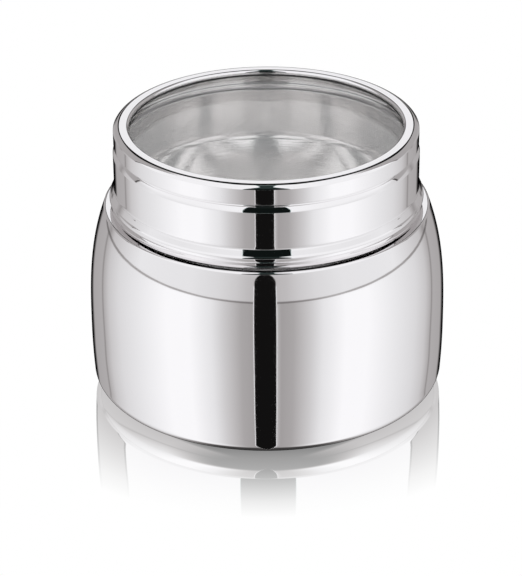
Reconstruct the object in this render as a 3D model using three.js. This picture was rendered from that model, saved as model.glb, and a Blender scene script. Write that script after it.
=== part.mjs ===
// Round steel storage canister with a press-on window lid: a deep-drawn belly with a straight neck,
// and a lid made of a pressed steel ring, a glass disc and the rubber gasket between the two.
// Units are millimetres, +Z is up, and the origin is the centre of the foot, on the table.
import * as THREE from 'three';

// --- Driving dimensions -------------------------------------------------------------------------

const SEGMENTS = 48;          // flats round every turned piece, all with the same phase
const SHEET = 0.5;            // thickness of the steel sheet

// The canister's belly, widest at BELLY_HEIGHT and drawn in towards the foot and the shoulder.
const BELLY_RADIUS = 60;
const BELLY_HEIGHT = 21.5;
const FOOT_RADIUS = 44;       // outside of the flat ring that the canister stands on
const DIMPLE_RADIUS = 37;     // inside of that ring, where the floor is pressed up
const DIMPLE_RISE = 1.5;
const DIMPLE_SLOPE = 2.25;    // width of the slope up to the floor
const CORNER_HEIGHT = 6.7;    // top of the rounded corner above the foot
const CORNER_ROUND = 3.8;
const CORNER_START = -60;     // degrees: where the sloping underside meets the rounded corner
const CORNER_DRAW = 0.5;      // how far the wall has come in when it reaches the corner
const SHOULDER_HEIGHT = 65.8; // where the wall turns over into the shoulder
const SHOULDER_DRAW = 5.6;    // how far the wall has come in there
const SHOULDER_POWER = 3;     // how late the wall starts to come in
const SHOULDER_ROUND = 0.8;

// The neck, which the lid slides down over.
const NECK_RADIUS = 49.35;
const NECK_FILLET = 2.5;      // width of the hollow rounding between ledge and neck
const NECK_RISE = 4.2;        // height of that rounding
const NECK_START = 268;       // degrees: where the rounding leaves the ledge
const NECK_TOP = 85.95;

// The lid ring, from its window lip over the top and down the skirt to the rolled foot.
const LID_TOP = 94.5;
const WINDOW_RADIUS = 45.1;
const LIP_BOTTOM = 93.2;
const LIP_ROUND = 1;
const BRIM_ROUND = 2.4;       // rounding between the flat top and the upper band
const BRIM_END = 26;          // degrees above level where the rounding ends in a crease
const UPPER_BAND_RADIUS = 50.35;
const GROOVE_RADIUS = 49.3;
const GROOVE_TOP = 88.3;
const GROOVE_FLANK = 0.55;    // height of the groove's upper flank
const GROOVE_ROUND = 0.9;     // hollow rounding at the groove's floor
const GROOVE_LEAN = 59;       // degrees above level that the rounding faces where it ends
const LOWER_BAND_RADIUS = 50.65;
const LOWER_BAND_TOP = 85.3;
const FLARE_TOP = 73.7;
const FLARE_ROUND = 2.6;      // hollow rounding where the flare leaves the band
const FLARE_LEAN = 32;        // degrees above level that the flare faces
const FLARE_DROP = 1.6;       // height of its straight part
const BEAD_RADIUS = 52.25;    // outside of the rolled foot
const BEAD_HIGH_ROUND = 1.6;  // the roll's upper and lower rounding
const BEAD_LOW_ROUND = 1.3;
const BEAD_START = 47;        // degrees: where the flare meets the roll
const BEAD_CURL = -110;       // degrees: where the curled edge ends, underneath
const BEAD_BOTTOM = 68.15;

// The window: a glass disc that lies on the groove's inner ridge, under a flat rubber gasket.
const GLASS_RADIUS = 49.5;
const GLASS_BOTTOM = 88.5;
const GLASS_TOP = 92.3;
const GLASS_BEVEL = 0.4;
const GAP = 0.3;              // clearance left between pieces that touch on the real object
const GASKET_BORE = 45.3;
const GASKET_RADIUS = 48.9;

const DEGREE = Math.PI / 180;

// --- Outlines: points (radius, height) ----------------------------------------------------------

const at = (radius, height) => new THREE.Vector2(radius, height);

// An arc about a centre, from one angle to another: 0 degrees points outwards, 90 points up. It is
// part of an ellipse where a height other than the radius is given.
function arc(centre, radius, from, to, steps, height = radius) {
  const curve = new THREE.EllipseCurve(
    centre.x, centre.y, radius, height, from * DEGREE, to * DEGREE, to < from);
  return curve.getPoints(steps);
}

// The unit normal to the left of the stretch from one point to the next.
function leftNormal(from, to) {
  const run = to.clone().sub(from).normalize();
  return at(-run.y, run.x);
}

// The outline moved sideways by a distance: to its left where positive, to its right where negative.
function offsetOutline(points, distance) {
  const last = points.length - 1;
  return points.map((point, i) => {
    const before = leftNormal(points[Math.max(i - 1, 0)], points[Math.max(i, 1)]);
    const after = leftNormal(points[Math.min(i, last - 1)], points[Math.min(i + 1, last)]);
    const mitre = before.clone().add(after).normalize();
    return point.clone().addScaledVector(mitre, distance / mitre.dot(before));
  });
}

// Radius of the belly wall at a height: a parabola below the widest point, a later curve above it.
function wallRadius(height) {
  if (height < BELLY_HEIGHT) {
    const down = (BELLY_HEIGHT - height) / (BELLY_HEIGHT - CORNER_HEIGHT);
    return BELLY_RADIUS - CORNER_DRAW * down ** 2;
  }
  const up = (height - BELLY_HEIGHT) / (SHOULDER_HEIGHT - BELLY_HEIGHT);
  return BELLY_RADIUS - SHOULDER_DRAW * up ** SHOULDER_POWER;
}

function wallOutline(steps) {
  const points = [];
  for (let i = 1; i < steps; i += 1) {
    const height = CORNER_HEIGHT + (SHOULDER_HEIGHT - CORNER_HEIGHT) * i / steps;
    points.push(at(wallRadius(height), height));
  }
  return points;
}

// The sloping underside, from the foot's edge until it runs smoothly into the corner's rounding.
function undersideOutline(corner, steps) {
  const outward = at(Math.cos(CORNER_START * DEGREE), Math.sin(CORNER_START * DEGREE));
  const foot = at(FOOT_RADIUS, 0);
  const meeting = corner.clone().addScaledVector(outward, CORNER_ROUND);
  const chord = meeting.clone().sub(foot);
  const radius = chord.lengthSq() / (2 * chord.dot(outward));
  const centre = meeting.clone().addScaledVector(outward, -radius);
  const start = foot.clone().sub(centre).angle() / DEGREE - 360;
  return arc(centre, radius, start, CORNER_START, steps);
}

// The outside of the canister, from the middle of its pressed-up floor to the top of its neck.
function canisterOutline() {
  const corner = at(wallRadius(CORNER_HEIGHT) - CORNER_ROUND, CORNER_HEIGHT);
  const slope = SHOULDER_DRAW * SHOULDER_POWER / (SHOULDER_HEIGHT - BELLY_HEIGHT);
  const lean = Math.atan(slope) / DEGREE;
  const shoulder = at(
    wallRadius(SHOULDER_HEIGHT) - SHOULDER_ROUND * Math.cos(lean * DEGREE),
    SHOULDER_HEIGHT - SHOULDER_ROUND * Math.sin(lean * DEGREE));
  const ledge = shoulder.y + SHOULDER_ROUND;
  const fillet = at(NECK_RADIUS + NECK_FILLET, ledge + NECK_RISE);
  return [
    at(0, DIMPLE_RISE),
    at(DIMPLE_RADIUS - DIMPLE_SLOPE, DIMPLE_RISE),
    at(DIMPLE_RADIUS, 0),
    ...undersideOutline(corner, 3),
    ...arc(corner, CORNER_ROUND, CORNER_START, 0, 4).slice(1),
    ...wallOutline(9),
    ...arc(shoulder, SHOULDER_ROUND, lean, 90, 4),
    ...arc(fillet, NECK_FILLET, NECK_START, 180, 5, NECK_RISE),
    at(NECK_RADIUS, NECK_TOP - SHEET / 2),
  ];
}

// The visible side of the lid ring: up the window's lip, over the top and down to the curled foot.
function lidOutline() {
  const lip = at(WINDOW_RADIUS + LIP_ROUND, LID_TOP - LIP_ROUND);
  const brim = at(
    UPPER_BAND_RADIUS - BRIM_ROUND * Math.cos(BRIM_END * DEGREE), LID_TOP - BRIM_ROUND);
  const groove = at(GROOVE_RADIUS + GROOVE_ROUND, GROOVE_TOP - GROOVE_FLANK);
  const flare = arc(
    at(LOWER_BAND_RADIUS + FLARE_ROUND, FLARE_TOP), FLARE_ROUND, 180, 180 + FLARE_LEAN, 3);
  const flareEnd = flare[flare.length - 1].clone().add(
    at(FLARE_DROP * Math.tan(FLARE_LEAN * DEGREE), -FLARE_DROP));
  const roll = at(
    BEAD_RADIUS - BEAD_HIGH_ROUND, flareEnd.y - BEAD_HIGH_ROUND * Math.sin(BEAD_START * DEGREE));
  const curl = at(BEAD_RADIUS - BEAD_LOW_ROUND, BEAD_BOTTOM + BEAD_LOW_ROUND);
  return [
    at(WINDOW_RADIUS, LIP_BOTTOM),
    ...arc(lip, LIP_ROUND, 180, 90, 4),
    ...arc(brim, BRIM_ROUND, 90, BRIM_END, 4),
    at(UPPER_BAND_RADIUS, GROOVE_TOP),
    ...arc(groove, GROOVE_ROUND, 180, 180 + GROOVE_LEAN, 3),
    at(LOWER_BAND_RADIUS, LOWER_BAND_TOP),
    ...flare,
    ...arc(roll, BEAD_HIGH_ROUND, BEAD_START, 0, 3),
    ...arc(curl, BEAD_LOW_ROUND, 0, BEAD_CURL, 4),
  ];
}

// --- Solids --------------------------------------------------------------------------------------

// Turns an outline about the vertical axis. A ring's outline is closed on itself first, and every
// outline is walked so that the faces point out.
function turned(outline, isRing) {
  const points = isRing ? [...outline, outline[0].clone()] : outline;
  if (THREE.ShapeUtils.area(outline) < 0) {
    points.reverse();
  }
  const solid = new THREE.LatheGeometry(points, SEGMENTS);
  solid.rotateX(Math.PI / 2);
  return solid;
}

// A mesh with its own material.
function piece(name, geometry, color, roughness, metalness) {
  const material = new THREE.MeshStandardMaterial({ color, roughness, metalness });
  const mesh = new THREE.Mesh(geometry, material);
  mesh.name = name;
  return mesh;
}

// One sheet of steel drawn into the floor, belly, shoulder and neck, with a rounded rim.
function canisterBody() {
  const outside = canisterOutline();
  const inside = offsetOutline(outside, SHEET).reverse();
  const rimCentre = at(NECK_RADIUS - SHEET / 2, NECK_TOP - SHEET / 2);
  const rim = arc(rimCentre, SHEET / 2, 0, 180, 4).slice(1, -1);
  return piece('canister_body', turned([...outside, ...rim, ...inside], false), 0xd9d8d9, 0.06, 1);
}

// One sheet of steel pressed into the brim, the two bands, the groove between them and the foot.
function lidRing() {
  const visible = lidOutline();
  const hidden = offsetOutline(visible, -SHEET).reverse();
  return piece('lid_ring', turned([...visible, ...hidden], true), 0xdedddf, 0.05, 1);
}

// A flat disc with bevelled edges.
function windowGlass() {
  const outline = [
    at(0, GLASS_BOTTOM),
    at(GLASS_RADIUS - GLASS_BEVEL, GLASS_BOTTOM),
    at(GLASS_RADIUS, GLASS_BOTTOM + GLASS_BEVEL),
    at(GLASS_RADIUS, GLASS_TOP - GLASS_BEVEL),
    at(GLASS_RADIUS - GLASS_BEVEL, GLASS_TOP),
    at(0, GLASS_TOP),
  ];
  return piece('window_glass', turned(outline, false), 0xf2f5f4, 0.02, 0);
}

// A thin flat ring of rubber between the disc and the edge of the window's lip.
function windowGasket() {
  const outline = [
    at(GASKET_BORE, GLASS_TOP + GAP),
    at(GASKET_RADIUS, GLASS_TOP + GAP),
    at(GASKET_RADIUS, LIP_BOTTOM - GAP),
    at(GASKET_BORE, LIP_BOTTOM - GAP),
  ];
  return piece('window_gasket', turned(outline, true), 0x161616, 0.6, 0);
}

// --- The canister, closed ------------------------------------------------------------------------

const lid = new THREE.Group();
lid.add(lidRing(), windowGlass(), windowGasket());

const canister = new THREE.Group();
canister.add(canisterBody(), lid);

export default canister;
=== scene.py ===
# %% [markdown]
# # A steel spice canister with a window lid
#
# The real object is spun and pressed from thin stainless steel. A deep-drawn belly carries a straight
# neck, and a lid with a round glass window slides down over that neck. Outside, both are polished to a
# mirror; inside, both keep the soft ring marks of the lathe.
#
# Four pieces are made here: the canister, the lid ring, the window and the rubber gasket that beds
# the window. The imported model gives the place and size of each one. Every piece is round, so each is
# an outline turned about the upright axis, and most of the work is in the outlines, in the finish of
# the steel and in the light that a mirror shows.

# %% Load the frame
import math

import bpy
import numpy as np
from mathutils import Matrix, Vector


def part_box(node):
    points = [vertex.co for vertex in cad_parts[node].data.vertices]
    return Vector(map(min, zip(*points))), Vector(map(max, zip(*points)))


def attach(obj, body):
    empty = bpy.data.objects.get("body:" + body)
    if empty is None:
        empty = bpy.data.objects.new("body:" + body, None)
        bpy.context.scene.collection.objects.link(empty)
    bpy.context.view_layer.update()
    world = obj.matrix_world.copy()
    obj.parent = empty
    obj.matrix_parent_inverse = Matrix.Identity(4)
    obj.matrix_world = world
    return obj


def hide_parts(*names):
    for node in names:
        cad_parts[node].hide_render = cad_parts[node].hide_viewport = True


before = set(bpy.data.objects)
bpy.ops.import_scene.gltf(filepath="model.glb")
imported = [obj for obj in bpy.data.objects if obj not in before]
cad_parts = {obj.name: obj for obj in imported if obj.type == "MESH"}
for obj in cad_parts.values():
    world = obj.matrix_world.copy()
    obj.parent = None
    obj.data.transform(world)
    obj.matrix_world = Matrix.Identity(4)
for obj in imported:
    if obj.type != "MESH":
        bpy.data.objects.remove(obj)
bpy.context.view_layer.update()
MM = 0.001

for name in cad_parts:
    low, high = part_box(name)
    print(f"{name}: radius {high.x / MM:.2f} mm, from {low.z / MM:.2f} to {high.z / MM:.2f} mm")

# %% [markdown]
# ## Outlines
#
# An outline is a row of points (radius, height), in metres. Sheet metal is never bent to a perfectly
# sharp edge, and a small rounding is what catches the light, so corners are rounded by short arcs.
# A flat stretch next to an arc gets one extra point close to each end. Smooth shading then keeps the
# flat stretch flat, and only that last sliver blends into the arc: a mirror would show anything else.

# %% Outline helpers
KEEP_FLAT = 0.06 * MM       # how close to its ends a flat stretch gets its extra points
ROUNDING_SHARE = 0.45       # most of a side that the rounding at one of its ends may take
STRAIGHT = math.radians(2)  # a turn smaller than this is no corner


def arc(centre, radius, start, end, steps):
    """Points at centre + radius * (cos, sin) of evenly spaced angles: 0 degrees is outwards, 90 is up.

    A radius of two numbers, width and height, gives part of an ellipse."""
    angle = np.radians(np.linspace(start, end, steps + 1))
    return centre + radius * np.stack([np.cos(angle), np.sin(angle)], axis=1)


def bulged(start, end, half_angle, steps):
    """An arc from start to end that turns clockwise through twice the half angle, in degrees.

    Its radius is half the chord over sin(half angle), and its centre lies to the chord's right."""
    chord = end - start
    length = np.linalg.norm(chord)
    radius = length / 2 / math.sin(math.radians(half_angle))
    inward = np.array([chord[1], -chord[0]]) / length
    centre = (start + end) / 2 + inward * radius * math.cos(math.radians(half_angle))
    middle = math.degrees(math.atan2(*(-inward)[::-1]))
    return arc(centre, radius, middle + half_angle, middle - half_angle, steps)


def rounded(corners, radius, steps=6):
    """The line through the corners, with each inner corner replaced by an arc that touches both sides.

    The arc touches each side at radius * tan(half the turn) from the corner, and its middle lies on the
    line that halves the corner. It is smaller where a side is short, and left out where the turn is."""
    rows = [corners[0]]
    for before, corner, after in zip(corners[:-2], corners[1:-1], corners[2:]):
        into = (corner - before) / np.linalg.norm(corner - before)
        out = (after - corner) / np.linalg.norm(after - corner)
        turn = math.atan2(into[0] * out[1] - into[1] * out[0], into @ out)
        room = ROUNDING_SHARE * min(np.linalg.norm(corner - before), np.linalg.norm(after - corner))
        reach = min(radius * math.tan(abs(turn) / 2), room)
        if abs(turn) < STRAIGHT:
            rows.append(corner)
            continue
        bend = reach / math.tan(abs(turn) / 2)
        side = np.array([-into[1], into[0]]) * math.copysign(1, turn)
        centre = corner - into * reach + side * bend
        first = math.degrees(math.atan2(*(-side)[::-1]))
        rows.extend(arc(centre, bend, first, first + math.degrees(turn), steps))
    rows.append(corners[-1])
    return np.array(rows)


def supported(outline, longest=1.2 * MM):
    """The outline with its flat stretches kept flat: two extra points just inside each long stretch."""
    rows = [outline[:1]]
    for a, b in zip(outline[:-1], outline[1:]):
        length = np.linalg.norm(b - a)
        if length > longest:
            share = np.array([KEEP_FLAT / length, 1 - KEEP_FLAT / length])[:, None]
            rows.append(a + (b - a) * share)
        rows.append(b[None])
    return np.concatenate(rows)


def offset(outline, distance):
    """The outline moved sideways, to its left where distance is positive. Each point moves along the
    mean of its two sides' normals, by distance over the cosine of half the turn, as in a mitre joint."""
    run = np.diff(outline, axis=0)
    run /= np.linalg.norm(run, axis=1)[:, None]
    normal = np.stack([-run[:, 1], run[:, 0]], axis=1)
    before = np.concatenate([normal[:1], normal])
    after = np.concatenate([normal, normal[-1:]])
    mitre = before + after
    mitre /= np.linalg.norm(mitre, axis=1)[:, None]
    return outline + mitre * distance / np.sum(mitre * before, axis=1)[:, None]


print("outline helpers ready")

# %% [markdown]
# ## Turning an outline into a mesh
#
# Blender's Screw modifier or Spin tool could turn an outline. Working the points out with numpy keeps
# them exact: the point at angle a is (radius * cos a, radius * sin a, height). Where an outline reaches
# the axis, its ring of points shrinks to one pole and closes with triangles, so no hole is left.
# Two numbers are stored with every point for the materials: the way travelled along the outline, which
# the polishing lines follow, and whether the point is on the hidden side of its sheet.

# %% The lathe
SEGMENTS = 288  # columns of faces round every piece


def lathe_points(outline):
    """Each outline point at every column's angle a: (radius * cos a, radius * sin a, height)."""
    angle = np.linspace(0, 2 * np.pi, SEGMENTS, endpoint=False)
    verts = np.empty((len(outline), SEGMENTS, 3))
    verts[..., 0] = outline[:, :1] * np.cos(angle)
    verts[..., 1] = outline[:, :1] * np.sin(angle)
    verts[..., 2] = outline[:, 1:]
    return verts.reshape(-1, 3)


def lathe_faces(count, ring):
    """Quads between neighbouring rows of points, and triangles from the end rows to the two poles.

    Row r has the point numbers from r * SEGMENTS on, and the poles come last. A ring has no poles: its
    last row joins the first."""
    rows = count if ring else count - 1
    row = np.arange(rows)[:, None] * SEGMENTS
    above = (np.arange(1, rows + 1) % count)[:, None] * SEGMENTS
    column = np.arange(SEGMENTS)
    following = (column + 1) % SEGMENTS
    quads = np.stack([row + column, row + following, above + following, above + column], axis=-1)
    if ring:
        return quads.reshape(-1, 4), np.empty((0, 3), int)
    pole = np.full(SEGMENTS, count * SEGMENTS)
    edge = (count - 1) * SEGMENTS
    near = np.stack([pole, following, column], axis=1)
    far = np.stack([pole + 1, edge + column, edge + following], axis=1)
    return quads.reshape(-1, 4), np.concatenate([near, far])


def turn_on_lathe(name, outline, ring, inner_from=None):
    """A closed mesh from an outline. ring joins the outline's end to its start; otherwise both ends lie
    on the axis. Faces point out, whichever way the outline runs: its signed area tells the direction.
    Points from number inner_from on are on the hidden side."""
    x, y = outline.T
    area = np.sum(x * np.roll(y, -1) - np.roll(x, -1) * y)
    step = np.linalg.norm(np.diff(outline, axis=0), axis=1)
    along = np.concatenate([[0.0], np.cumsum(step)])
    first_inside = len(outline) if inner_from is None else inner_from
    inside = np.where(np.arange(len(outline)) < first_inside, 0.0, 1.0)
    body = slice(None) if ring else slice(1, -1)
    verts = lathe_points(outline[body])
    quads, caps = lathe_faces(len(outline[body]), ring)
    if area < 0:
        quads, caps = quads[:, ::-1], caps[:, ::-1]
    if not ring:
        verts = np.concatenate([verts, [[0, 0, outline[0, 1]], [0, 0, outline[-1, 1]]]])
    mesh = bpy.data.meshes.new(name)
    mesh.from_pydata(verts, [], quads.tolist() + caps.tolist())
    for label, values in (("along", along), ("inside", inside)):
        poles = [] if ring else values[[0, -1]]
        per_point = np.concatenate([np.repeat(values[body], SEGMENTS), poles])
        mark = mesh.attributes.new(label, "FLOAT", "POINT")
        mark.data.foreach_set("value", per_point.astype(np.float32))
    mesh.shade_smooth()
    piece = bpy.data.objects.new(name, mesh)
    bpy.context.scene.collection.objects.link(piece)
    triangles = 2 * len(quads) + len(caps)
    print(f"{name}: {len(outline)} outline points, {triangles} triangles")
    return piece


print(f"lathe ready, {SEGMENTS} columns")

# %% [markdown]
# ## The canister
#
# A flat blank is drawn into a cup, and the cup is spun against a wooden form: the belly bulges out, the
# shoulder turns in tightly, and the neck stands straight above it. The wall barely leans over most of
# its height and then leans ever more towards the shoulder, which is a power curve. One outline
# describes the outside, and the same line moved inwards by the sheet's thickness is the inside.

# %% Canister sizes
body_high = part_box("canister_body")[1]
SHEET = 0.5 * MM
BELLY_RADIUS = body_high.x
BELLY_HEIGHT = 21.5 * MM
FOOT_RADIUS = 44 * MM
FOOT_FLAT = 1.5 * MM      # left beside the underside when the ring's inner corner is rounded
FOOT_ROUND = 1.2 * MM
DIMPLE_RADIUS = 37 * MM
DIMPLE_RISE = 1.5 * MM
DIMPLE_SLOPE = 2.25 * MM  # width of the slope up to the floor
CORNER_HEIGHT = 6.7 * MM
CORNER_ROUND = 3.8 * MM
CORNER_START = -60        # degrees: where the underside meets the rounded corner
CORNER_DRAW = 0.5 * MM    # how far the wall has come in at the corner
WALL_ROWS = 56
SHOULDER_HEIGHT = 65.8 * MM
SHOULDER_DRAW = 5.6 * MM  # how far the wall has come in at the shoulder
SHOULDER_POWER = 3
SHOULDER_ROUND = 0.8 * MM
NECK_RADIUS = 49.35 * MM
NECK_FILLET = 2.5 * MM    # width of the hollow rounding between ledge and neck
NECK_RISE = 4.2 * MM      # height of that rounding
NECK_TOP = body_high.z
RIM_STEPS = 8


def wall_radius(height):
    """Below the widest point a shallow parabola, and above it a power curve that leans in late."""
    down = np.clip((BELLY_HEIGHT - height) / (BELLY_HEIGHT - CORNER_HEIGHT), 0, None)
    up = np.clip((height - BELLY_HEIGHT) / (SHOULDER_HEIGHT - BELLY_HEIGHT), 0, None)
    return BELLY_RADIUS - CORNER_DRAW * down**2 - SHOULDER_DRAW * up**SHOULDER_POWER


def underside(corner, steps):
    """An arc from the foot's edge that runs smoothly into the corner: its centre lies on the line
    through the corner's centre and their meeting point, where it is as far from both its ends."""
    out = np.array([math.cos(math.radians(CORNER_START)), math.sin(math.radians(CORNER_START))])
    foot = np.array([FOOT_RADIUS, 0.0])
    meeting = corner + out * CORNER_ROUND
    chord = meeting - foot
    radius = chord @ chord / (2 * chord @ out)
    centre = meeting - out * radius
    start = math.degrees(math.atan2(*(foot - centre)[::-1]))
    return arc(centre, radius, start, CORNER_START, steps)


def canister_outline():
    """The outside, from the middle of the floor to the top of the neck."""
    corner = np.array([wall_radius(CORNER_HEIGHT) - CORNER_ROUND, CORNER_HEIGHT])
    rise = 1 - (1 - np.linspace(0, 1, WALL_ROWS + 2)[1:-1]) ** 2  # closer towards the shoulder
    heights = CORNER_HEIGHT + (SHOULDER_HEIGHT - CORNER_HEIGHT) * rise
    lean = math.atan(SHOULDER_DRAW * SHOULDER_POWER / (SHOULDER_HEIGHT - BELLY_HEIGHT))
    turn = SHOULDER_ROUND * np.array([math.cos(lean), math.sin(lean)])
    shoulder = np.array([wall_radius(SHOULDER_HEIGHT), SHOULDER_HEIGHT]) - turn
    ledge = shoulder[1] + SHOULDER_ROUND
    fillet = np.array([NECK_RADIUS + NECK_FILLET, ledge + NECK_RISE])
    floor = rounded(
        [
            np.array([0.0, DIMPLE_RISE]),
            np.array([DIMPLE_RADIUS - DIMPLE_SLOPE, DIMPLE_RISE]),
            np.array([DIMPLE_RADIUS, 0.0]),
            np.array([FOOT_RADIUS - FOOT_FLAT, 0.0]),
        ],
        FOOT_ROUND,
    )
    below = np.concatenate(
        [floor, underside(corner, 16), arc(corner, CORNER_ROUND, CORNER_START, 0, 12)[1:]]
    )
    above = np.concatenate(
        [
            arc(shoulder, SHOULDER_ROUND, math.degrees(lean), 90, 12),
            arc(fillet, np.array([NECK_FILLET, NECK_RISE]), 270, 180, 16),
            np.array([[NECK_RADIUS, NECK_TOP - SHEET / 2]]),
        ]
    )
    wall = np.stack([wall_radius(heights), heights], axis=1)
    return np.concatenate([supported(below), wall, supported(above)])


outside = canister_outline()
rim = arc(np.array([NECK_RADIUS - SHEET / 2, NECK_TOP - SHEET / 2]), SHEET / 2, 0, 180, RIM_STEPS)[1:-1]
inside = offset(outside, SHEET)[::-1]
inside[-1, 0] = 0.0
crown = len(outside) + RIM_STEPS // 2
canister = turn_on_lathe("canister", np.concatenate([outside, rim, inside]), ring=False, inner_from=crown)

# %% [markdown]
# ## The lid ring
#
# The lid is one pressed ring. From the window's lip it runs over a flat brim and down a short upper
# band, steps in at a groove, and drops down a taller lower band, which flares out to a rolled foot. The
# groove is a ridge on the inside: it sits on the canister's rim from above and carries the glass.

# %% Lid sizes
lid_low, lid_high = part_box("lid_ring")
LID_TOP = lid_high.z
WINDOW_RADIUS = 45.1 * MM
LIP_BOTTOM = LID_TOP - 1.3 * MM
LIP_ROUND = 1 * MM
BRIM_ROUND = 2.4 * MM
BRIM_END = 26      # degrees above level where the brim's rounding ends in a crease
UPPER_BAND_RADIUS = 50.35 * MM
GROOVE_RADIUS = 49.3 * MM
GROOVE_TOP = LID_TOP - 6.2 * MM
GROOVE_FLANK = 0.55 * MM
GROOVE_ROUND = 0.9 * MM
GROOVE_LEAN = 59   # degrees above level that the groove's rounding faces where it ends
LOWER_BAND_RADIUS = 50.65 * MM
LOWER_BAND_TOP = LID_TOP - 9.2 * MM
BAND_BULGE = 7     # half the angle through which the flank above the lower band curves
FLARE_TOP = LID_TOP - 20.8 * MM
FLARE_ROUND = 2.6 * MM
FLARE_LEAN = 32    # degrees above level that the flare faces
FLARE_DROP = 1.6 * MM
BEAD_RADIUS = lid_high.x
BEAD_HIGH_ROUND = 1.6 * MM
BEAD_LOW_ROUND = 1.3 * MM
BEAD_START = 47    # degrees: where the flare meets the rolled foot
BEAD_CURL = -110   # degrees: where the curled edge ends, underneath
CREASE = 0.2 * MM  # rounding of the lid's pressed creases


def lid_outline():
    """The side of the ring that shows, from the lip's lower edge to the end of the curled foot."""
    lip = np.array([WINDOW_RADIUS + LIP_ROUND, LID_TOP - LIP_ROUND])
    lean = BRIM_ROUND * math.cos(math.radians(BRIM_END))
    brim = arc(np.array([UPPER_BAND_RADIUS - lean, LID_TOP - BRIM_ROUND]), BRIM_ROUND, 90, BRIM_END, 16)
    groove = np.array([GROOVE_RADIUS + GROOVE_ROUND, GROOVE_TOP - GROOVE_FLANK])
    floor = arc(groove, GROOVE_ROUND, 180, 180 + GROOVE_LEAN, 10)
    flank = bulged(floor[-1], np.array([LOWER_BAND_RADIUS, LOWER_BAND_TOP]), BAND_BULGE, 8)
    hollow = np.array([LOWER_BAND_RADIUS + FLARE_ROUND, FLARE_TOP])
    flare = arc(hollow, FLARE_ROUND, 180, 180 + FLARE_LEAN, 8)
    flare_end = flare[-1] + FLARE_DROP * np.array([math.tan(math.radians(FLARE_LEAN)), -1.0])
    roll_drop = BEAD_HIGH_ROUND * math.sin(math.radians(BEAD_START))
    roll = np.array([BEAD_RADIUS - BEAD_HIGH_ROUND, flare_end[1] - roll_drop])
    curl = np.array([BEAD_RADIUS - BEAD_LOW_ROUND, lid_low.z + BEAD_LOW_ROUND])
    upper = [*brim[-2:], np.array([UPPER_BAND_RADIUS, GROOVE_TOP]), floor[0], floor[1]]
    lower = [*floor[-2:], *flank[1:], flare[0], flare[1]]
    return np.concatenate(
        [
            np.array([[WINDOW_RADIUS, LIP_BOTTOM]]),
            arc(lip, LIP_ROUND, 180, 90, 8),
            brim[:-1],
            rounded(upper, CREASE, 4)[1:-1],
            floor[1:-1],
            rounded(lower, CREASE, 4)[1:-1],
            flare[1:],
            arc(roll, BEAD_HIGH_ROUND, BEAD_START, 0, 12),
            arc(curl, BEAD_LOW_ROUND, 0, BEAD_CURL, 12),
        ]
    )


shown = supported(lid_outline())
hidden = offset(shown, -SHEET)[::-1]
lid = turn_on_lathe("lid", np.concatenate([shown, hidden]), ring=True, inner_from=len(shown))

# %% [markdown]
# ## The window and its gasket
#
# The window is a cut glass disc with ground edges. It lies on the groove's inner ridge, and a flat ring
# of black rubber beds it against the underside of the brim. Under the lip only a thin line of it shows.

# %% Window and gasket
glass_low, glass_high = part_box("window_glass")
gasket_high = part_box("window_gasket")[1]
GLASS_BEVEL = 0.4 * MM
EDGE_ROUND = 0.1 * MM  # rounding of the edges of glass and rubber
GASKET_BORE = 45.3 * MM
TOUCH = 0.02 * MM      # how closely the rubber lies against the glass and the lip

glass_edge = rounded(
    [
        np.array([0.0, glass_low.z]),
        np.array([glass_high.x - GLASS_BEVEL, glass_low.z]),
        np.array([glass_high.x, glass_low.z + GLASS_BEVEL]),
        np.array([glass_high.x, glass_high.z - GLASS_BEVEL]),
        np.array([glass_high.x - GLASS_BEVEL, glass_high.z]),
        np.array([0.0, glass_high.z]),
    ],
    EDGE_ROUND,
    3,
)
window = turn_on_lathe("window", supported(glass_edge, glass_high.x / 2), ring=False)

gasket_foot = glass_high.z + TOUCH
gasket_top = LIP_BOTTOM - TOUCH
gasket_edge = rounded(
    [
        np.array([(GASKET_BORE + gasket_high.x) / 2, gasket_foot]),
        np.array([GASKET_BORE, gasket_foot]),
        np.array([GASKET_BORE, gasket_top]),
        np.array([gasket_high.x, gasket_top]),
        np.array([gasket_high.x, gasket_foot]),
        np.array([(GASKET_BORE + gasket_high.x) / 2, gasket_foot]),
    ],
    EDGE_ROUND,
    3,
)
gasket = turn_on_lathe("gasket", gasket_edge[:-1], ring=True)

# %% [markdown]
# ## Shader sums written as Python
#
# A material's maths is easier to read as a sum than as a drawing of boxes. A Wire holds one number that
# runs through a node tree, and each operator on it adds a Math node. The reflected forms let a plain
# number stand on the left, as in 1 - mask. All other nodes come from one method.

# %% Wires and nodes


class Wire:
    """A number in a node tree. Sums on it add Math nodes."""

    def __init__(self, nodes, socket):
        self.nodes = nodes
        self.socket = socket

    def math(self, operation, *others):
        inputs = dict(enumerate([self, *others]))
        return self.nodes.add("ShaderNodeMath", {"operation": operation}, inputs, 0)

    def __add__(self, other):
        return self.math("ADD", other)

    def __mul__(self, other):
        return self.math("MULTIPLY", other)

    def __sub__(self, other):
        return self.math("SUBTRACT", other)

    def __rsub__(self, other):
        return self.nodes.add("ShaderNodeMath", {"operation": "SUBTRACT"}, {0: other, 1: self}, 0)

    def __truediv__(self, other):
        return self.math("DIVIDE", other)

    __radd__ = __add__
    __rmul__ = __mul__

    def blend(self, other, share):
        """This number where share is 0 and the other where it is 1."""
        return self + (other - self) * share

    def ramp(self, low, high, first=0.0, last=1.0):
        """Runs smoothly from first to last as this number goes from low to high."""
        inputs = {"Value": self, "From Min": low, "From Max": high, "To Min": first, "To Max": last}
        return self.nodes.add("ShaderNodeMapRange", {"interpolation_type": "SMOOTHSTEP"}, inputs, 0)


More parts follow.
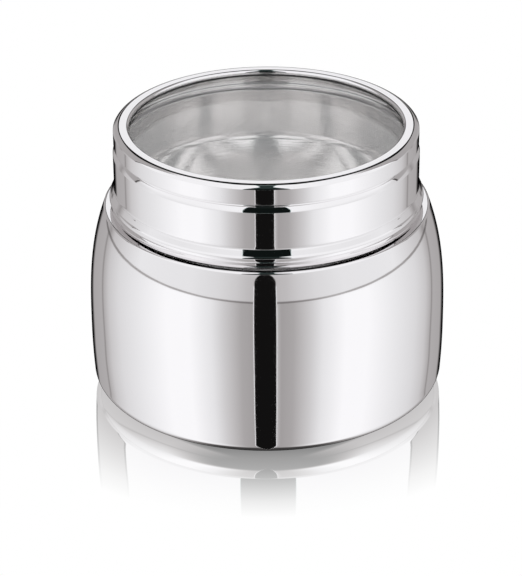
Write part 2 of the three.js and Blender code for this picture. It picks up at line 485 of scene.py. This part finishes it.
class Nodes:
    """A node tree that starts empty and grows by one method."""

    def __init__(self, tree):
        self.tree = tree
        tree.nodes.clear()

    def add(self, kind, settings=None, inputs=None, output=None):
        """A new node: settings first, then a value or a link for each socket. Returns one output."""
        node = self.tree.nodes.new(kind)
        for name, value in (settings or {}).items():
            if name == "stops":
                self.set_stops(node.color_ramp, value)
            else:
                setattr(node, name, value)
        for key, value in (inputs or {}).items():
            if isinstance(value, Wire):
                self.tree.links.new(value.socket, node.inputs[key])
            else:
                node.inputs[key].default_value = value
        return node if output is None else Wire(self, node.outputs[output])

    @staticmethod
    def set_stops(ramp, stops):
        """Stops are (position, brightness), and positions run from 0 to 1."""
        while len(ramp.elements) < len(stops):
            ramp.elements.new(1.0)
        for element, (position, brightness) in zip(ramp.elements, stops):
            element.position = position
            element.color = (brightness, brightness, brightness, 1.0)


def new_material(name):
    """An empty material and its nodes."""
    material = bpy.data.materials.new(name)
    material.use_nodes = True
    return material, Nodes(material.node_tree)


print("shader helpers ready")

# %% [markdown]
# ## Steel
#
# Stainless steel polished on a wheel is almost a perfect mirror. What keeps it from looking like a
# computer's mirror is very small: a haze that the polishing wheel leaves in faint bands round the
# piece, and a slight waviness in the sheet. Both follow the way the lathe turned, so the pattern is
# stretched round the axis and fine along the outline: one noise, read at (x, y, way along the outline),
# has no seam anywhere. The insides were never polished as far. They get the same recipe with stronger
# marks and a small share of scattered light, which makes them satin.

# %% Steel
RING_STRETCH = 9.0        # noise cells per metre across the piece: few, so a mark runs far round
MARK_RANGE = (0.35, 0.7)  # noise values that count as no mark and as a full mark
WAVES = 30.0              # waves of the sheet per metre
WAVE_HEIGHT = 8           # how many times higher they are than the ring marks


def steel(name, tint, metal, gloss, haze, ripple, lines):
    """Metal with ring marks: lines of them per metre along the outline, each ripple metres high.

    Roughness runs from gloss to gloss + haze, and metal is the share of light that the mirror keeps."""
    material, nodes = new_material(name)
    place = nodes.add("ShaderNodeTexCoord", output="Object")
    split = nodes.add("ShaderNodeSeparateXYZ", inputs={0: place})
    along = nodes.add("ShaderNodeAttribute", {"attribute_name": "along"}, output="Fac")
    x = Wire(nodes, split.outputs[0]) * RING_STRETCH
    y = Wire(nodes, split.outputs[1]) * RING_STRETCH
    ring = nodes.add("ShaderNodeCombineXYZ", inputs={0: x, 1: y, 2: along * lines}, output=0)
    marks = nodes.add(
        "ShaderNodeTexNoise", inputs={"Vector": ring, "Scale": 1.0, "Detail": 4.0}, output="Fac"
    )
    wave = nodes.add(
        "ShaderNodeTexNoise", inputs={"Vector": place, "Scale": WAVES, "Detail": 1.0}, output="Fac"
    )
    relief = marks * ripple + wave * (ripple * WAVE_HEIGHT)
    bump = nodes.add(
        "ShaderNodeBump", inputs={"Strength": 1.0, "Distance": 1.0, "Height": relief}, output="Normal"
    )
    shader = nodes.add(
        "ShaderNodeBsdfPrincipled",
        inputs={
            "Base Color": (*tint, 1.0),
            "Metallic": metal,
            "Roughness": marks.ramp(*MARK_RANGE, gloss, gloss + haze),
            "Normal": bump,
        },
        output=0,
    )
    nodes.add("ShaderNodeOutputMaterial", inputs={"Surface": shader})
    print(f"{name}: roughness {gloss} to {gloss + haze:.2f}")
    return material


mirror_steel = steel(
    "mirror_steel", (0.92, 0.91, 0.915), metal=1.0, gloss=0.02, haze=0.03, ripple=4e-7, lines=2500.0
)
satin_steel = steel(
    "satin_steel", (0.99, 0.975, 0.97), metal=0.86, gloss=0.05, haze=0.06, ripple=3e-5, lines=1500.0
)

# %% [markdown]
# ## Glass and rubber
#
# Glass bends light on the way in and bends it back on the way out, so through a flat disc the view only
# moves a little sideways. The window is therefore drawn as a thin pane: light goes straight through, and
# the share that is mirrored grows as the pane turns away. A refracting shader could do the same at the
# price of many more bounces. The rubber is dark and matt, with the uneven skin of a moulded part.

# %% Glass and rubber
SQUARE_ON = 0.04      # share of light that clear glass mirrors when seen square on
GLASS_TINT = (0.985, 0.99, 0.988, 1.0)
WHITE = (1.0, 1.0, 1.0, 1.0)
RUBBER_GRAIN = 900.0  # bumps of the rubber's skin per metre
RUBBER_SKIN = 3e-5    # their height


def clear_glass():
    """A thin pane: its mirrored share is SQUARE_ON, and grows to all of the light with the fifth power
    of how far the pane is turned away."""
    material, nodes = new_material("clear_glass")
    clear = nodes.add("ShaderNodeBsdfTransparent", inputs={"Color": GLASS_TINT}, output=0)
    gloss = nodes.add("ShaderNodeBsdfGlossy", inputs={"Color": WHITE, "Roughness": 0.02}, output=0)
    away = nodes.add("ShaderNodeLayerWeight", inputs={"Blend": 0.5}, output="Facing")
    share = away.math("POWER", 5.0) * (1 - SQUARE_ON) + SQUARE_ON
    both = nodes.add("ShaderNodeMixShader", inputs={0: share, 1: clear, 2: gloss}, output=0)
    nodes.add("ShaderNodeOutputMaterial", inputs={"Surface": both})
    return material


def soft_rubber():
    """Moulded rubber: dark and matt, with a fine uneven skin."""
    material, nodes = new_material("soft_rubber")
    place = nodes.add("ShaderNodeTexCoord", output="Object")
    skin = nodes.add(
        "ShaderNodeTexNoise", inputs={"Vector": place, "Scale": RUBBER_GRAIN, "Detail": 3.0}, output="Fac"
    )
    relief = skin * RUBBER_SKIN
    bump = nodes.add(
        "ShaderNodeBump", inputs={"Strength": 1.0, "Distance": 1.0, "Height": relief}, output="Normal"
    )
    shader = nodes.add(
        "ShaderNodeBsdfPrincipled",
        inputs={
            "Base Color": (0.02, 0.02, 0.02, 1.0),
            "Roughness": skin.ramp(0.3, 0.7, 0.45, 0.65),
            "Normal": bump,
        },
        output=0,
    )
    nodes.add("ShaderNodeOutputMaterial", inputs={"Surface": shader})
    return material


glass, rubber = clear_glass(), soft_rubber()
print(f"{glass.name} and {rubber.name} ready")

# %% [markdown]
# ## Putting the pieces together
#
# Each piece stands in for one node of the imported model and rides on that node's body, so the lid ring,
# the window and the gasket rise together when the lid is pulled off. The two steel pieces carry both
# finishes. The lathe stored which points are inside, so a face is satin where all its corners are.

# %% Put each piece on its body, in its finish


def fit(piece, node, body, slot, *materials):
    """The piece takes the CAD node's place, rides on its body and gets its materials."""
    for material in materials:
        piece.data.materials.append(material)
    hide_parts(node)
    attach(piece, body)
    print(f"{piece.name} stands in for {node} and rides on {body}")


def satin_inside(piece):
    """Faces whose corners are all inside take the piece's second material."""
    mesh = piece.data
    mark = np.empty(len(mesh.vertices), np.float32)
    mesh.attributes["inside"].data.foreach_get("value", mark)
    starts = np.empty(len(mesh.polygons), np.int32)
    mesh.polygons.foreach_get("loop_start", starts)
    corners = np.empty(len(mesh.loops), np.int32)
    mesh.loops.foreach_get("vertex_index", corners)
    finish = np.minimum.reduceat(mark[corners], starts) > 0.5
    mesh.polygons.foreach_set("material_index", finish.astype(np.int32))
    print(f"{piece.name}: {int(finish.sum())} faces are satin")


fit(canister, "canister_body", "canister", "steel_body", mirror_steel, satin_steel)
fit(lid, "lid_ring", "lid", "steel_lid", mirror_steel, satin_steel)
fit(window, "window_glass", "lid", "clear_glass", glass)
fit(gasket, "window_gasket", "lid", "soft_rubber", rubber)
satin_inside(canister)
satin_inside(lid)

# %% [markdown]
# ## The light tent
#
# A mirror has no look of its own: it shows the room. So the room is designed, as a studio does with a
# tent of white cloth round polished metal. The world shader describes the tent by direction alone: how
# far round from the front a ray points, and how high.
#
# Two rings of cloth meet in a sewn seam, with a roof above, a panel on each side towards the rear and a
# grey ground below. At the front the cloth leaves a dark slit with a bright hem, and above the slit is
# the wide dark opening for the camera and whoever stands at it. At the back a dark gap sharpens the
# edges of the steel, and a bright card hangs in its middle.
#
# Three kinds of ray see something else. The camera sees plain white, and so does the table's mirror.
# Scattered light comes from an even fill, which brightens the satin insides and leaves the mirror alone.

# %% Light tent
HALF_TURN = 180.0
SLIT_CENTRE = -1.3          # the slit's middle, in degrees round from the front, to the right
SLIT_HALF = 6.7             # half its width
SLIT_HEM = 0.5              # width of the bright hem on each side
SLIT_NARROWS = 10.0         # height above which it closes to its round top
SLIT_TOP = 15.0
SEAM_SAG = -0.00062         # the seam is level ahead and sinks with the square of the degrees round
SEAM_HALF = 0.2             # half the height of its dark line
SEAM_SHADE = 0.55           # share of the light that this line takes away
PANEL_START = 108.5         # degrees round to the front edge of the side panels
OPENING_LOW_HALF = 0.272    # half the camera opening's width low down, as the sine of an angle
OPENING_HIGH_HALF = 0.045   # the same near the roof
CARD_HEIGHT = 24.0
CARD_HALF_HEIGHT = 9.0
CARD_HALF_WIDTH = 0.1       # as the sine of an angle
FILL_TINT = (1.0, 0.985, 0.98, 1.0)
FILL_LIGHT = 3.2
STEEL_KEEPS = 0.91          # share of the light that the mirror steel gives back


def glow(display):
    """The light that shows as this brightness on mirror steel: 0 to 255, by the sRGB curve."""
    share = display / 255
    linear = ((share + 0.055) / 1.055) ** 2.4 if share > 0.04045 else share / 12.92
    return linear / STEEL_KEEPS


def cloth(*stops):
    """Ramp stops from (degrees round from the front, display brightness)."""
    return [(degrees / HALF_TURN, glow(display)) for degrees, display in stops]


LOW_CLOTH = cloth(
    (5.3, 190), (8.5, 160), (16, 168), (27, 202), (35, 227), (50, 248), (66, 248), (90, 230), (109, 216),
    (122, 198), (130, 172), (131.5, 140), (134, 172), (153, 165), (157, 90), (160.5, 4), (180, 0),
)
HIGH_CLOTH = cloth(
    (6, 184), (12, 188), (20, 202), (31, 215), (50, 227), (90, 230), (112, 203), (122, 192), (129, 150),
    (135, 174), (156, 168), (160, 90), (163, 4), (180, 0),
)
HEM = glow(238)
DARK = glow(17)
ROOF = glow(240)
PANEL = glow(165)
PANEL_EDGE = glow(70)
GROUND = glow(60)
OPENING_LOW = glow(14)
OPENING_HIGH = glow(42)
CARD = glow(236)


def within(value, centre, half, soft):
    """1 where the value is within half of the centre, 0 outside, with an edge as wide as soft."""
    return (value - centre).math("ABSOLUTE").ramp(half, half + soft, 1.0, 0.0)


def cloth_walls(nodes, around, height):
    """The cloth under and over the seam, then the roof, the side panels and the ground."""
    share = around / HALF_TURN
    low = nodes.add("ShaderNodeValToRGB", {"stops": LOW_CLOTH}, {0: share}, 0)
    high = nodes.add("ShaderNodeValToRGB", {"stops": HIGH_CLOTH}, {0: share}, 0)
    seam = around * around * SEAM_SAG
    light = low.blend(high, (height - seam).ramp(-1.0, 1.0))
    light = light * (1 - within(height, seam, SEAM_HALF, 0.5) * SEAM_SHADE)
    light = light.blend(ROOF, height.ramp(12.0, 24.0))
    panel = height.ramp(5.0, 8.0) * height.ramp(50.0, 60.0, 1.0, 0.0)
    light = light.blend(PANEL, panel * around.ramp(PANEL_START - 0.5, PANEL_START + 0.5))
    light = light.blend(PANEL_EDGE, panel * within(around, PANEL_START, 0.5, 1.0))
    return light.blend(GROUND, height.ramp(-75.0, -55.0, 1.0, 0.0))


def with_slit(light, turn, height):
    """The slit at the front. Its half-width shrinks to its top as a quarter circle does."""
    hem = within(turn, SLIT_CENTRE, SLIT_HALF + SLIT_HEM, 0.3) * height.ramp(8.0, 9.0, 1.0, 0.0)
    light = light.blend(HEM, hem)
    closing = (height - SLIT_NARROWS) / (SLIT_TOP - SLIT_NARROWS)
    arch = closing.math("MAXIMUM", 0.0).math("MINIMUM", 1.0)
    half = (1 - arch * arch).math("SQRT") * SLIT_HALF
    slit = within(turn, SLIT_CENTRE, half, 0.4) * height.ramp(SLIT_TOP - 0.5, SLIT_TOP, 1.0, 0.0)
    return light.blend(DARK, slit)


def camera_opening(x, y, height):
    """1 in the opening over the slit, which grows narrower upwards and ends a little past the zenith."""
    half = height.ramp(22.0, 78.0, OPENING_LOW_HALF, OPENING_HIGH_HALF)
    return within(x, 0.0, half, 0.012) * height.ramp(16.0, 17.5) * y.ramp(0.2, 0.3, 1.0, 0.0)


def with_back(light, x, y, around, height):
    """The dark gap at the back, wider high up than low down, and the card in its middle."""
    start = height.ramp(24.0, 40.0, 164.0, 146.0)
    gap = (around - start).ramp(0.0, 4.0) * height.ramp(10.0, 14.0) * height.ramp(73.0, 76.0, 1.0, 0.0)
    light = light.blend(DARK, gap)
    card = within(height, CARD_HEIGHT, CARD_HALF_HEIGHT, 1.0) * within(x, 0.0, CARD_HALF_WIDTH, 0.01)
    return light.blend(CARD, card * y.ramp(0.0, 0.1))


def background(nodes, colour, strength):
    """A world surface of one colour."""
    return nodes.add("ShaderNodeBackground", inputs={"Color": colour, "Strength": strength}, output=0)


def light_tent():
    """The tent's light by direction, slightly warm in its greys, and what each kind of ray sees."""
    world = bpy.data.worlds.new("light_tent")
    bpy.context.scene.world = world
    world.use_nodes = True
    nodes = Nodes(world.node_tree)
    split = nodes.add(
        "ShaderNodeSeparateXYZ", inputs={0: nodes.add("ShaderNodeTexCoord", output="Generated")}
    )
    x, y, z = (Wire(nodes, split.outputs[i]) for i in range(3))
    height = z.math("ARCSINE") * math.degrees(1)
    turn = x.math("ARCTAN2", y * -1.0) * math.degrees(1)
    around = turn.math("ABSOLUTE")
    light = with_slit(cloth_walls(nodes, around, height), turn, height)
    opening = camera_opening(x, y, height)
    light = light.blend(height.ramp(38.0, 60.0, OPENING_LOW, OPENING_HIGH), opening)
    light = with_back(light, x, y, around, height)
    green = light * (light.ramp(0.2, 0.9, 0.95, 1.0) + opening * 0.5)
    blue = light * (light.ramp(0.2, 0.9, 0.95, 1.018) + opening * 0.45)
    colour = nodes.add("ShaderNodeCombineColor", inputs={0: light, 1: green, 2: blue}, output=0)
    path = nodes.add("ShaderNodeLightPath")
    seen, mirrored, scattered = (
        Wire(nodes, path.outputs[kind]) for kind in ("Is Camera Ray", "Is Singular Ray", "Is Diffuse Ray")
    )
    tent = background(nodes, colour, 1.0)
    white = background(nodes, WHITE, 1.0)
    fill = background(nodes, FILL_TINT, FILL_LIGHT)
    soft = nodes.add("ShaderNodeMixShader", inputs={0: scattered, 1: tent, 2: fill}, output=0)
    plain = seen.math("MAXIMUM", mirrored)
    both = nodes.add("ShaderNodeMixShader", inputs={0: plain, 1: soft, 2: white}, output=0)
    nodes.add("ShaderNodeOutputWorld", inputs={"Surface": both})
    print(f"light tent: {len(world.node_tree.nodes)} nodes")


light_tent()

# %% [markdown]
# ## The floor
#
# The table is a white gloss sheet, lit until it shows as plain white. Close to the canister it mirrors
# the steel, and the mirror image fades with the distance from the axis. A glossy sheet in a white room
# would fade by itself, but only with lights that the steel would show too, so the fade is drawn. For
# the same reason the steel doesn't see the sheet.

# %% Floor
FLOOR_HALF = 1.5      # half the sheet's side, in metres
FADE_UNIT = 100 * MM  # the fade's distances from the axis are shares of this
# Stops of the fade: (distance, share of light that is mirrored).
FADE = [(0.51, 0.75), (0.63, 0.62), (0.73, 0.39), (0.83, 0.15), (0.92, 0.0)]


def white_floor():
    """One square face. Its mirror is perfectly sharp, which is how the world tells its rays apart."""
    material, nodes = new_material("white_gloss_floor")
    place = nodes.add("ShaderNodeTexCoord", output="Object")
    distance = nodes.add("ShaderNodeVectorMath", {"operation": "LENGTH"}, {0: place}, "Value")
    fade = nodes.add("ShaderNodeValToRGB", {"stops": FADE}, {0: distance / FADE_UNIT}, 0)
    bright = nodes.add("ShaderNodeEmission", inputs={"Color": WHITE, "Strength": 1.0}, output=0)
    gloss = nodes.add("ShaderNodeBsdfGlossy", inputs={"Color": WHITE, "Roughness": 0.0}, output=0)
    both = nodes.add("ShaderNodeMixShader", inputs={0: fade, 1: bright, 2: gloss}, output=0)
    nodes.add("ShaderNodeOutputMaterial", inputs={"Surface": both})
    corners = np.array([[-1, -1, 0], [1, -1, 0], [1, 1, 0], [-1, 1, 0]]) * FLOOR_HALF
    mesh = bpy.data.meshes.new("floor")
    mesh.from_pydata(corners, [], [(0, 1, 2, 3)])
    mesh.materials.append(material)
    floor = bpy.data.objects.new("floor", mesh)
    floor.visible_glossy = False
    bpy.context.scene.collection.objects.link(floor)
    print(f"floor: {2 * FLOOR_HALF} m square, its mirror ends {FADE[-1][0] * FADE_UNIT / MM:.0f} mm out")


white_floor()
bpy.context.scene.view_settings.view_transform = "Standard"

# %% [markdown]
# ## The camera
#
# A long lens from about 0.8 m, well above the lid, shows the window as a wide ellipse and keeps the
# canister's sides nearly parallel. The camera is turned and tilted by a fraction of a degree, as one on
# a real tripod is. Its three axes are worked out directly, because a Track To constraint has no tilt.

# %% Camera
CAMERA_DISTANCE = 795.5 * MM
CAMERA_ELEVATION = math.radians(27.28)
AIM_HEIGHT = 33.16 * MM  # height on the axis that it points at before it is turned and tilted
CAMERA_PAN = math.radians(0.168)
CAMERA_ROLL = math.radians(-0.43)
LENS = 146.0


def add_camera():
    """A camera in front of the canister, looking down at it, with a slight turn and tilt."""
    data = bpy.data.cameras.new("camera")
    data.lens = LENS
    data.clip_end = 10.0
    camera = bpy.data.objects.new("camera", data)
    bpy.context.scene.collection.objects.link(camera)
    camera.location = (
        0.0,
        -CAMERA_DISTANCE * math.cos(CAMERA_ELEVATION),
        CAMERA_DISTANCE * math.sin(CAMERA_ELEVATION) + AIM_HEIGHT,
    )
    cos_p, sin_p = math.cos(CAMERA_PAN), math.sin(CAMERA_PAN)
    cos_e, sin_e = math.cos(CAMERA_ELEVATION), math.sin(CAMERA_ELEVATION)
    forward = np.array([-sin_p * cos_e, cos_p * cos_e, -sin_e])
    right = np.array([cos_p, sin_p, 0.0])
    up = np.cross(right, forward)
    cos_r, sin_r = math.cos(CAMERA_ROLL), math.sin(CAMERA_ROLL)
    right, up = cos_r * right + sin_r * up, cos_r * up - sin_r * right
    turn = Matrix(np.stack([right, up, -forward], axis=1).tolist())
    camera.rotation_euler = turn.to_euler()
    bpy.context.scene.camera = camera
    print(f"camera: {LENS:.0f} mm lens, {camera.location.length:.3f} m from the foot")


add_camera()
